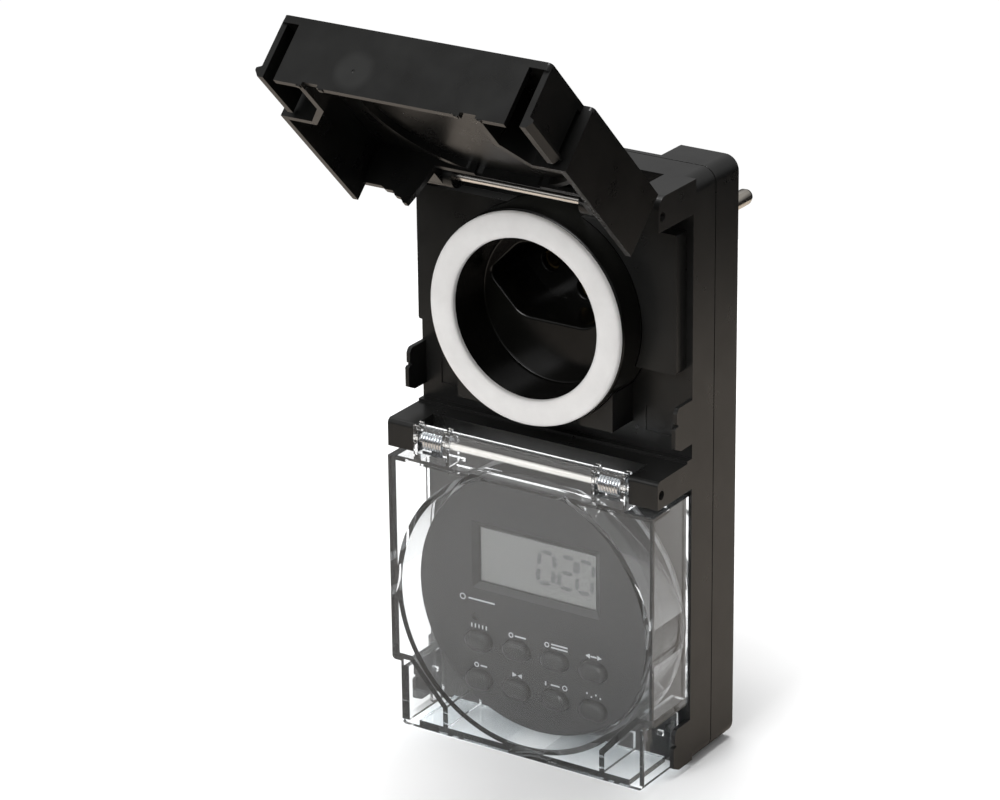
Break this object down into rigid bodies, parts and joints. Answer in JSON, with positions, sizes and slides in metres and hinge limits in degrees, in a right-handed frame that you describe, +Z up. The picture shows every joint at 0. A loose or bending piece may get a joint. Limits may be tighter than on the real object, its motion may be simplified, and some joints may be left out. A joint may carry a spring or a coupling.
{
  "type": "plug-in outdoor timer socket",
  "caption": "Splash-proof plug-in timer: hexagonal three-pin socket under a black hinged lid, digital timer under a clear hinged cover, mains plug behind.",
  "frame": {"origin": "centre of the flat face of the rear plug's hexagonal nose, from which the pins stand out", "axes": "+Z up, +Y backwards out of the plug's face into the wall outlet, +X to the right seen from the front"},
  "size_m": [0.072, 0.1336, 0.1817],
  "materials": {
    "housing_black": "satin moulded plastic with a fine grain",
    "insert_black": "semi-gloss moulded plastic",
    "face_black": "matte moulded plastic",
    "button_black": "matte moulded plastic",
    "seal_white": "soft matte white sealing rubber",
    "gasket_grey": "matte rubber",
    "keypad_grey": "matte silicone rubber",
    "clear_plastic": "clear polished polycarbonate",
    "lcd_grey": "grey liquid crystal glass",
    "rod_steel": "drawn and zinc-plated steel",
    "pin_nickel": "nickel-plated brass",
    "contact_brass": "stamped brass",
    "board_green": "solder-masked circuit board",
    "relay_blue": "moulded relay case",
    "capacitor_yellow": "moulded capacitor case",
    "can_black": "sleeved capacitor can"
  },
  "bodies": {
    "housing": {"front_housing": "housing_black", "rear_housing": "housing_black", "plug_body": "housing_black", "plug_nose": "housing_black", "timer_back_plate": "housing_black", "socket_insert": "insert_black", "timer_face": "face_black", "collar_seal": "seal_white", "cover_gasket": "gasket_grey", "plug_seal": "gasket_grey", "keypad_mat": "keypad_grey", "lcd_window": "clear_plastic", "lcd_panel": "lcd_grey", "lid_hinge_rod": "rod_steel", "cover_hinge_rod": "rod_steel", "cover_spring_left": "rod_steel", "cover_spring_right": "rod_steel", "backup_battery": "rod_steel", "neutral_pin": "pin_nickel", "live_pin": "pin_nickel", "earth_pin": "pin_nickel", "neutral_sleeve": "contact_brass", "live_sleeve": "contact_brass", "earth_sleeve": "contact_brass", "neutral_strap": "contact_brass", "live_in_strap": "contact_brass", "live_out_strap": "contact_brass", "earth_link": "contact_brass", "power_board": "board_green", "timer_board": "board_green", "relay": "relay_blue", "film_capacitor": "capacitor_yellow", "smoothing_capacitor": "can_black", "housing_screw_1": "rod_steel", "housing_screw_2": "rod_steel", "housing_screw_3": "rod_steel", "housing_screw_4": "rod_steel"},
    "lid": {"socket_lid": "housing_black"},
    "cover": {"clear_cover": "clear_plastic"},
    "reset": {"reset_button": "button_black"},
    "button_1": {"button_1": "button_black"},
    "button_2": {"button_2": "button_black"},
    "button_3": {"button_3": "button_black"},
    "button_4": {"button_4": "button_black"},
    "button_5": {"button_5": "button_black"},
    "button_6": {"button_6": "button_black"},
    "button_7": {"button_7": "button_black"},
    "button_8": {"button_8": "button_black"}
  },
  "joints": [
    {"name": "lid_hinge", "type": "hinge", "parent": "housing", "child": "lid", "pos_m": [0, -0.0641, 0.0242], "axis": [1, 0, 0], "range_deg": [0, 135.8]},
    {"name": "cover_hinge", "type": "hinge", "parent": "housing", "child": "cover", "pos_m": [0, -0.0641, -0.0406], "axis": [-1, 0, 0], "range_deg": [0, 110], "stiffness_Nm_per_rad": 0.008, "springref_deg": -91.67},
    {"name": "button_1_press", "type": "slide", "parent": "housing", "child": "button_1", "axis": [0, 1, 0], "range_m": [0, 0.0008], "stiffness_N_per_m": 900, "springref_m": -0.0003},
    {"name": "button_2_press", "type": "slide", "parent": "housing", "child": "button_2", "axis": [0, 1, 0], "range_m": [0, 0.0008], "stiffness_N_per_m": 900, "springref_m": -0.0003},
    {"name": "button_3_press", "type": "slide", "parent": "housing", "child": "button_3", "axis": [0, 1, 0], "range_m": [0, 0.0008], "stiffness_N_per_m": 900, "springref_m": -0.0003},
    {"name": "button_4_press", "type": "slide", "parent": "housing", "child": "button_4", "axis": [0, 1, 0], "range_m": [0, 0.0008], "stiffness_N_per_m": 900, "springref_m": -0.0003},
    {"name": "button_5_press", "type": "slide", "parent": "housing", "child": "button_5", "axis": [0, 1, 0], "range_m": [0, 0.0008], "stiffness_N_per_m": 900, "springref_m": -0.0003},
    {"name": "button_6_press", "type": "slide", "parent": "housing", "child": "button_6", "axis": [0, 1, 0], "range_m": [0, 0.0008], "stiffness_N_per_m": 900, "springref_m": -0.0003},
    {"name": "button_7_press", "type": "slide", "parent": "housing", "child": "button_7", "axis": [0, 1, 0], "range_m": [0, 0.0008], "stiffness_N_per_m": 900, "springref_m": -0.0003},
    {"name": "button_8_press", "type": "slide", "parent": "housing", "child": "button_8", "axis": [0, 1, 0], "range_m": [0, 0.0008], "stiffness_N_per_m": 900, "springref_m": -0.0003},
    {"name": "reset_press", "type": "slide", "parent": "housing", "child": "reset", "axis": [0, 1, 0], "range_m": [0, 0.0008], "stiffness_N_per_m": 900, "springref_m": -0.0003}
  ]
}
